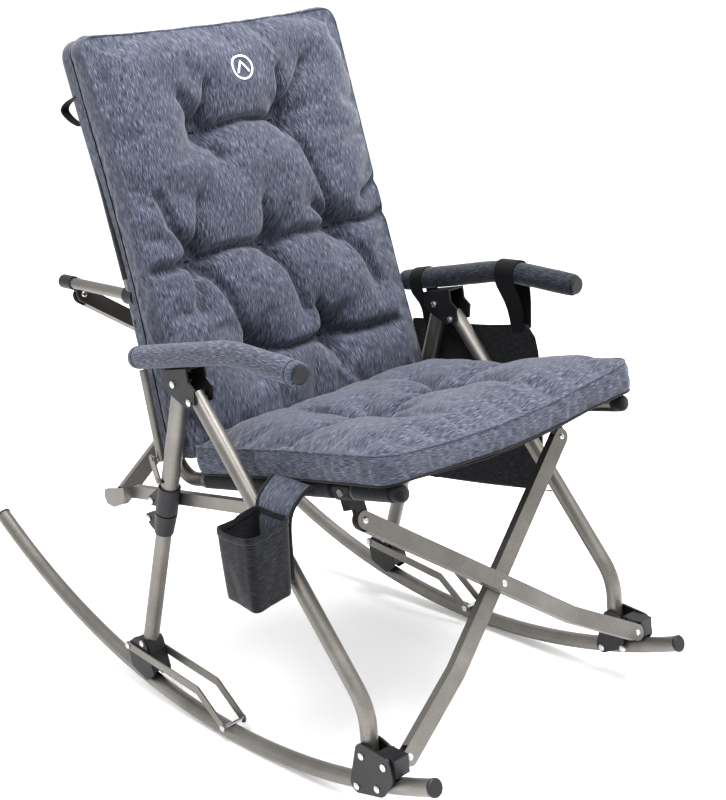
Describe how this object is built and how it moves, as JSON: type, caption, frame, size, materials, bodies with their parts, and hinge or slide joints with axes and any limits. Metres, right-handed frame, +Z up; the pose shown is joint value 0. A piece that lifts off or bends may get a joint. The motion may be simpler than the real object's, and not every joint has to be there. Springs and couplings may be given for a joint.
{
  "type": "camp rocking chair",
  "caption": "Folding padded camp rocking chair on curved tube rockers, with crossed tubes under the seat, padded armrests, a cup holder and a side pocket.",
  "frame": {"origin": "on the floor, half way between the lines where the two rockers touch it at rest", "axes": "+Z up, the sitter faces -Y, +X is the sitter's left"},
  "size_m": [0.6806, 1.0893, 1.0622],
  "materials": {
    "tube_grey": "satin warm grey powder coat",
    "bolt_steel": "bright zinc",
    "black_plastic": "matt black",
    "cap_plastic": "matt black",
    "heather_fabric": "heathered slate blue-grey weave",
    "black_cloth": "black woven polyester"
  },
  "bodies": {
    "right_frame": {"rocker_right": "tube_grey", "rocker_caps_right": "cap_plastic", "front_leg_right": "tube_grey", "rear_leg_upper_right": "tube_grey", "rear_leg_lower_right": "tube_grey", "front_bracket_outer_right": "black_plastic", "front_bracket_inner_right": "black_plastic", "saddle_right": "black_plastic", "saddle_straps_right": "tube_grey", "upper_collar_right": "black_plastic", "lower_collar_right": "black_plastic", "side_rail_right": "tube_grey", "arm_bracket_right": "black_plastic", "arm_tube_right": "tube_grey", "arm_pad_right": "heather_fabric", "arm_cap_right": "black_plastic", "arm_strut_right": "tube_grey", "frame_bolts_right": "bolt_steel", "cup_holder": "black_cloth"},
    "front_cross_a_bar": {"front_cross_a": "tube_grey", "front_cross_pin": "bolt_steel"},
    "front_cross_b_bar": {"front_cross_b": "tube_grey"},
    "left_frame": {"rocker_left": "tube_grey", "rocker_caps_left": "cap_plastic", "front_leg_left": "tube_grey", "rear_leg_upper_left": "tube_grey", "rear_leg_lower_left": "tube_grey", "front_bracket_outer_left": "black_plastic", "front_bracket_inner_left": "black_plastic", "saddle_left": "black_plastic", "saddle_straps_left": "tube_grey", "upper_collar_left": "black_plastic", "lower_collar_left": "black_plastic", "side_rail_left": "tube_grey", "arm_bracket_left": "black_plastic", "arm_tube_left": "tube_grey", "arm_pad_left": "heather_fabric", "arm_cap_left": "black_plastic", "arm_strut_left": "tube_grey", "frame_bolts_left": "bolt_steel", "side_pocket": "black_cloth", "pocket_straps": "black_cloth"},
    "right_seat": {"seat_rail_right": "tube_grey", "seat_bracket_right": "black_plastic", "back_upright_right": "tube_grey", "back_bracket_right": "black_plastic", "seat_pins_right": "bolt_steel", "seat_sling": "black_cloth", "back_sling": "black_cloth", "seat_cushion": "heather_fabric", "back_cushion": "heather_fabric"},
    "left_seat": {"seat_rail_left": "tube_grey", "seat_bracket_left": "black_plastic", "back_upright_left": "tube_grey", "back_bracket_left": "black_plastic", "seat_pins_left": "bolt_steel"},
    "rear_cross_a_bar": {"rear_cross_a": "tube_grey", "rear_cross_pin": "bolt_steel"},
    "rear_cross_b_bar": {"rear_cross_b": "tube_grey"}
  },
  "joints": [
    {"name": "fold", "type": "hinge", "parent": "right_frame", "child": "front_cross_a_bar", "pos_m": [-0.243, -0.343, 0.097], "axis": [0, -0.9511, 0.309], "range_deg": [0, 38], "deforming": ["seat_cushion", "back_cushion", "seat_sling", "back_sling"]},
    {"name": "front_crossing", "type": "hinge", "parent": "front_cross_a_bar", "child": "front_cross_b_bar", "pos_m": [0, -0.29201, 0.25392], "axis": [0, -0.9511, 0.309], "range_deg": [-76, 0]},
    {"name": "left_frame_hinge", "type": "hinge", "parent": "front_cross_b_bar", "child": "left_frame", "pos_m": [0.243, -0.343, 0.097], "axis": [0, -0.9511, 0.309], "range_deg": [0, 38]},
    {"name": "right_seat_hinge", "type": "hinge", "parent": "front_cross_b_bar", "child": "right_seat", "pos_m": [-0.215, -0.24102, 0.41085], "axis": [0, -0.9511, 0.309], "range_deg": [0, 38]},
    {"name": "left_seat_hinge", "type": "hinge", "parent": "front_cross_a_bar", "child": "left_seat", "pos_m": [0.215, -0.24102, 0.41085], "axis": [0, -0.9511, 0.309], "range_deg": [-38, 0]},
    {"name": "rear_cross_hinge", "type": "hinge", "parent": "right_frame", "child": "rear_cross_a_bar", "pos_m": [-0.243, 0.296, 0.332], "axis": [0, -0.9511, 0.309], "range_deg": [0, 38]},
    {"name": "rear_crossing", "type": "hinge", "parent": "rear_cross_a_bar", "child": "rear_cross_b_bar", "pos_m": [0, 0.34699, 0.48892], "axis": [0, -0.9511, 0.309], "range_deg": [-76, 0]}
  ],
  "couplings": [
    {"joint": "front_crossing", "follows": "fold", "ratio": -2},
    {"joint": "left_frame_hinge", "follows": "fold", "ratio": 1},
    {"joint": "right_seat_hinge", "follows": "fold", "ratio": 1},
    {"joint": "left_seat_hinge", "follows": "fold", "ratio": -1},
    {"joint": "rear_cross_hinge", "follows": "fold", "ratio": 1},
    {"joint": "rear_crossing", "follows": "fold", "ratio": -2}
  ]
}
